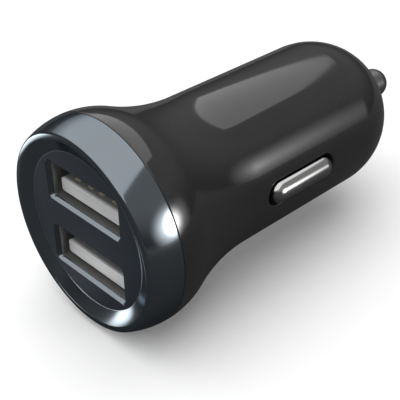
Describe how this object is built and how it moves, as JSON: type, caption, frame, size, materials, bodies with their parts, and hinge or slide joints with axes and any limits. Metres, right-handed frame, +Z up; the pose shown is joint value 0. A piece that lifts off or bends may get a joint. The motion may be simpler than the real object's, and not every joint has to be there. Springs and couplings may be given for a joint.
{
  "type": "car usb charger plug",
  "caption": "Vehicle power-socket plug with a flared head and stacked USB sockets, sprung side contacts and a sprung tip.",
  "frame": {"origin": "on the plug's axis, in the plane where the straight barrel starts behind the flared head", "axes": "+Y along the axis from the face to the spring tip, +X to the right across the USB sockets seen from the face, +Z up through both sockets"},
  "size_m": [0.0276, 0.0577, 0.0276],
  "materials": {
    "housing_plastic": "satin black moulding",
    "cap_plastic": "gloss gunmetal moulding",
    "board_laminate": "green solder mask",
    "shell_steel": "nickel-plated folded sheet",
    "tongue_plastic": "light grey moulding",
    "gilt_strip": "gilt strip",
    "ferrite": "dark sintered ferrite",
    "copper_wire": "enamelled copper wire",
    "can_aluminium": "drawn aluminium can",
    "chip_resin": "black moulded resin",
    "tinned_metal": "tinned",
    "fuse_ceramic": "unglazed ceramic",
    "capacitor_ceramic": "brown ceramic",
    "tip_nickel": "dark nickel plate",
    "spring_steel": "spring wire and strip",
    "terminal_brass": "plain brass",
    "contact_nickel": "polished nickel plate"
  },
  "bodies": {
    "plug": {"housing": "housing_plastic", "front_cap": "cap_plastic", "circuit_board": "board_laminate", "upper_port_shell": "shell_steel", "upper_port_insulator": "tongue_plastic", "upper_port_contacts": "gilt_strip", "lower_port_shell": "shell_steel", "lower_port_insulator": "tongue_plastic", "lower_port_contacts": "gilt_strip", "inductor_core": "ferrite", "inductor_winding": "copper_wire", "input_capacitor_can": "can_aluminium", "input_capacitor_base": "chip_resin", "output_capacitor_can": "can_aluminium", "output_capacitor_base": "chip_resin", "converter_chip": "chip_resin", "converter_leads": "tinned_metal", "port_control_chip": "chip_resin", "port_control_leads": "tinned_metal", "rectifier_diode": "chip_resin", "diode_terminals": "tinned_metal", "fuse_body": "fuse_ceramic", "fuse_caps": "tinned_metal", "ceramic_capacitors": "capacitor_ceramic", "chip_resistors": "chip_resin", "tip_spring": "spring_steel", "tip_terminal": "terminal_brass", "left_contact_spring": "spring_steel", "right_contact_spring": "spring_steel"},
    "tip": {"tip_contact": "tip_nickel"},
    "left_contact": {"left_side_contact": "contact_nickel"},
    "right_contact": {"right_side_contact": "contact_nickel"}
  },
  "joints": [
    {"name": "tip_press", "type": "slide", "parent": "plug", "child": "tip", "axis": [0, -1, 0], "range_m": [0, 0.003], "stiffness_N_per_m": 1500, "springref_m": -0.001, "deforming": ["tip_spring"]},
    {"name": "left_contact_press", "type": "slide", "parent": "plug", "child": "left_contact", "axis": [1, 0, 0], "range_m": [0, 0.0009], "stiffness_N_per_m": 2500, "springref_m": -0.0004, "deforming": ["left_contact_spring"]},
    {"name": "right_contact_press", "type": "slide", "parent": "plug", "child": "right_contact", "axis": [-1, 0, 0], "range_m": [0, 0.0009], "stiffness_N_per_m": 2500, "springref_m": -0.0004, "deforming": ["right_contact_spring"]}
  ]
}
